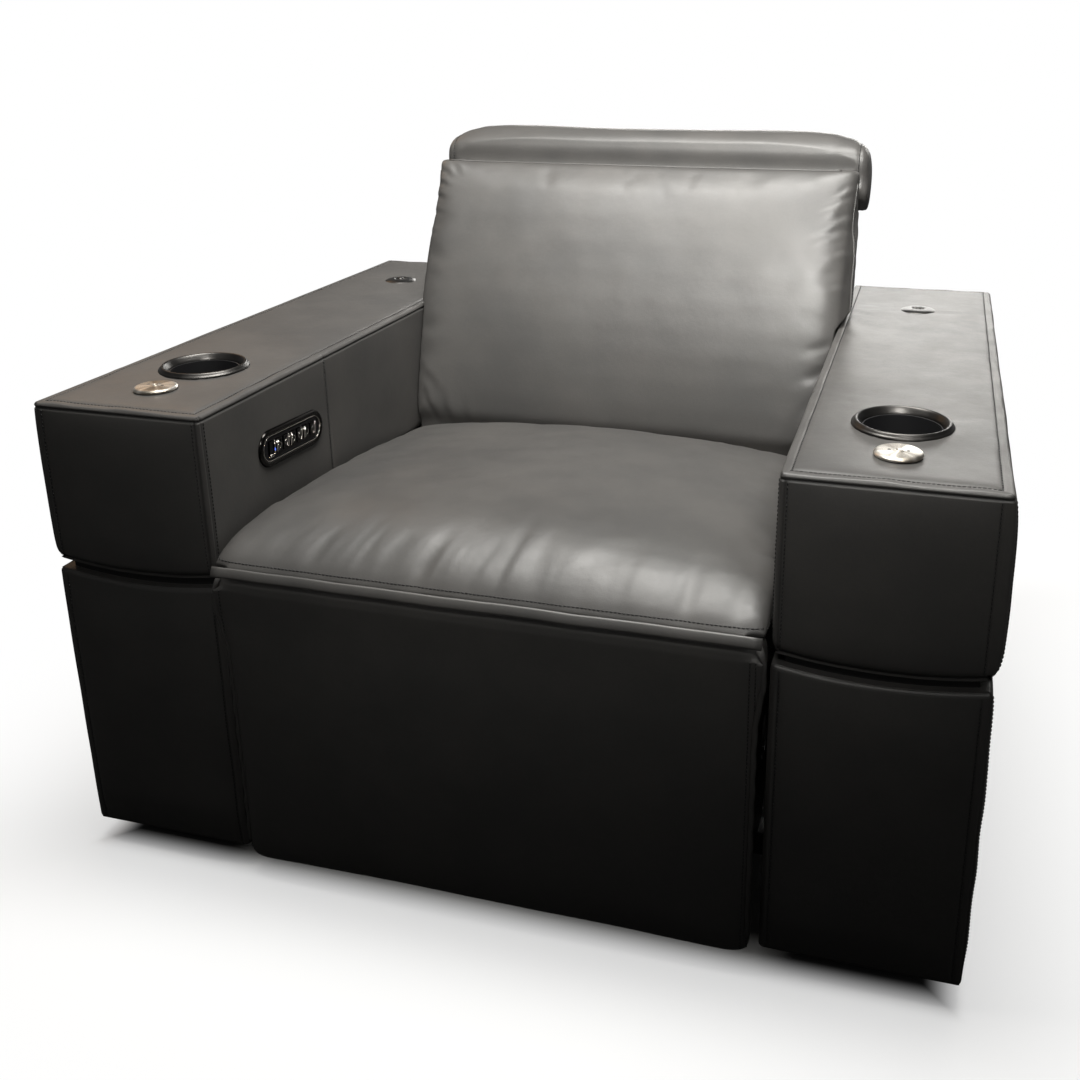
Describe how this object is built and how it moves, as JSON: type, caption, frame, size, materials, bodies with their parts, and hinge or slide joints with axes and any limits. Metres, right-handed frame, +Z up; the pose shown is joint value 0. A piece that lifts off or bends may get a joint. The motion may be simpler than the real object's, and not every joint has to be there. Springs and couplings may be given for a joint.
{
  "type": "cinema recliner seat",
  "caption": "Powered cinema recliner: leather box arms with cup holders, control panel, chaise seat, hinged footrest, reclining back and a rising headrest.",
  "frame": {"origin": "centre of the footprint, on the floor under the feet", "axes": "the seat faces -Y, +Z is up, +X points to the right as seen from the front"},
  "size_m": [1.08, 0.9349, 0.8565],
  "materials": {
    "plywood": "birch plywood, sanded",
    "leather": "smooth matte charcoal upholstery leather",
    "foot_plastic": "moulded black",
    "dark_chrome": "dark chrome",
    "black_plastic": "moulded black",
    "brushed_steel": "turned, brushed in circles",
    "dock_metal": "satin dark grey",
    "gloss_black": "piano black",
    "key_metal": "dark satin metal with a lit mark on the power key",
    "circuit_board": "green resist",
    "black_steel": "powder coated black",
    "zinc_steel": "zinc plated steel",
    "chrome": "polished"
  },
  "bodies": {
    "base": {"left_arm_frame": "plywood", "right_arm_frame": "plywood", "left_upper_arm_cover": "leather", "right_upper_arm_cover": "leather", "left_lower_arm_cover": "leather", "right_lower_arm_cover": "leather", "left_arm_feet": "foot_plastic", "right_arm_feet": "foot_plastic", "left_cup_ring": "dark_chrome", "right_cup_ring": "dark_chrome", "left_cup_liner": "black_plastic", "right_cup_liner": "black_plastic", "left_front_dock_cap": "brushed_steel", "right_front_dock_cap": "brushed_steel", "left_front_dock_socket": "black_plastic", "right_front_dock_socket": "black_plastic", "left_rear_dock": "dock_metal", "right_rear_dock": "dock_metal", "control_bezel": "dark_chrome", "control_plate": "gloss_black", "control_housing": "black_plastic", "control_board": "circuit_board", "front_cross_tube": "black_steel", "rear_cross_tube": "black_steel", "left_side_plate": "black_steel", "right_side_plate": "black_steel", "front_spring_rail": "plywood", "rear_spring_rail": "plywood", "seat_springs": "zinc_steel", "seat_cushion": "leather", "power_supply": "black_plastic", "power_inlet": "black_plastic", "footrest_motor": "black_plastic", "recline_motor": "black_plastic", "hinge_bolts": "zinc_steel"},
    "footrest": {"footrest_pad": "leather", "footrest_board_panel": "plywood", "footrest_frame": "black_steel"},
    "footrest_drive": {"footrest_drive_tube": "zinc_steel"},
    "footrest_links": {"left_footrest_link": "zinc_steel", "right_footrest_link": "zinc_steel"},
    "back": {"back_frame": "plywood", "back_shell": "leather", "back_cushion": "leather", "lumbar_motor": "black_plastic", "headrest_motor": "black_plastic"},
    "recline_drive": {"recline_drive_tube": "zinc_steel"},
    "recline_links": {"left_recline_link": "zinc_steel", "right_recline_link": "zinc_steel"},
    "lumbar": {"lumbar_plate": "zinc_steel"},
    "headrest_carrier": {"headrest_posts": "chrome"},
    "headrest": {"headrest_plate": "zinc_steel", "headrest_pad": "leather"},
    "power_key": {"key_power": "key_metal"},
    "recline_key": {"key_recline": "key_metal"},
    "upright_key": {"key_upright": "key_metal"},
    "headrest_up_key": {"key_headrest_up": "key_metal"},
    "headrest_down_key": {"key_headrest_down": "key_metal"},
    "lumbar_out_key": {"key_lumbar_out": "key_metal"},
    "lumbar_in_key": {"key_lumbar_in": "key_metal"}
  },
  "joints": [
    {"name": "footrest_swing", "type": "hinge", "parent": "base", "child": "footrest", "pos_m": [0, -0.4405, 0.395], "axis": [-1, 0, 0], "range_deg": [0, 85]},
    {"name": "footrest_drive_turn", "type": "hinge", "parent": "base", "child": "footrest_drive", "pos_m": [0, -0.2403, 0.31492], "axis": [-1, 0, 0], "range_deg": [0, 85]},
    {"name": "footrest_link_swing", "type": "hinge", "parent": "footrest_drive", "child": "footrest_links", "pos_m": [0, -0.1952, 0.22032], "axis": [-1, 0, 0], "range_deg": [-85, 0]},
    {"name": "back_recline", "type": "hinge", "parent": "base", "child": "back", "pos_m": [0, 0.1295, 0.335], "axis": [-1, 0, 0], "range_deg": [0, 38]},
    {"name": "recline_drive_turn", "type": "hinge", "parent": "base", "child": "recline_drive", "pos_m": [0, -0.0455, 0.3], "axis": [-1, 0, 0], "range_deg": [0, 38]},
    {"name": "recline_link_swing", "type": "hinge", "parent": "recline_drive", "child": "recline_links", "pos_m": [0, -0.0255, 0.215], "axis": [-1, 0, 0], "range_deg": [-38, 0]},
    {"name": "lumbar_push", "type": "slide", "parent": "back", "child": "lumbar", "axis": [0, -0.9212, 0.3891], "range_m": [0, 0.025]},
    {"name": "headrest_lift", "type": "slide", "parent": "back", "child": "headrest_carrier", "axis": [0, 0.3891, 0.9212], "range_m": [0, 0.07]},
    {"name": "headrest_tilt", "type": "hinge", "parent": "headrest_carrier", "child": "headrest", "pos_m": [0, 0.33261, 0.72947], "axis": [1, 0, 0], "range_deg": [0, 35]},
    {"name": "power_key_press", "type": "slide", "parent": "base", "child": "power_key", "axis": [-1, 0, 0], "range_m": [0, 0.0008], "stiffness_N_per_m": 1200, "springref_m": -0.0005},
    {"name": "recline_key_press", "type": "slide", "parent": "base", "child": "recline_key", "axis": [-1, 0, 0], "range_m": [0, 0.0008], "stiffness_N_per_m": 1200, "springref_m": -0.0005},
    {"name": "upright_key_press", "type": "slide", "parent": "base", "child": "upright_key", "axis": [-1, 0, 0], "range_m": [0, 0.0008], "stiffness_N_per_m": 1200, "springref_m": -0.0005},
    {"name": "headrest_up_key_press", "type": "slide", "parent": "base", "child": "headrest_up_key", "axis": [-1, 0, 0], "range_m": [0, 0.0008], "stiffness_N_per_m": 1200, "springref_m": -0.0005},
    {"name": "headrest_down_key_press", "type": "slide", "parent": "base", "child": "headrest_down_key", "axis": [-1, 0, 0], "range_m": [0, 0.0008], "stiffness_N_per_m": 1200, "springref_m": -0.0005},
    {"name": "lumbar_out_key_press", "type": "slide", "parent": "base", "child": "lumbar_out_key", "axis": [-1, 0, 0], "range_m": [0, 0.0008], "stiffness_N_per_m": 1200, "springref_m": -0.0005},
    {"name": "lumbar_in_key_press", "type": "slide", "parent": "base", "child": "lumbar_in_key", "axis": [-1, 0, 0], "range_m": [0, 0.0008], "stiffness_N_per_m": 1200, "springref_m": -0.0005}
  ],
  "couplings": [
    {"joint": "footrest_drive_turn", "follows": "footrest_swing", "ratio": 1},
    {"joint": "footrest_link_swing", "follows": "footrest_swing", "ratio": -1},
    {"joint": "recline_drive_turn", "follows": "back_recline", "ratio": 1},
    {"joint": "recline_link_swing", "follows": "back_recline", "ratio": -1},
    {"joint": "headrest_tilt", "follows": "headrest_lift", "rad_per_m": 8.7266}
  ]
}
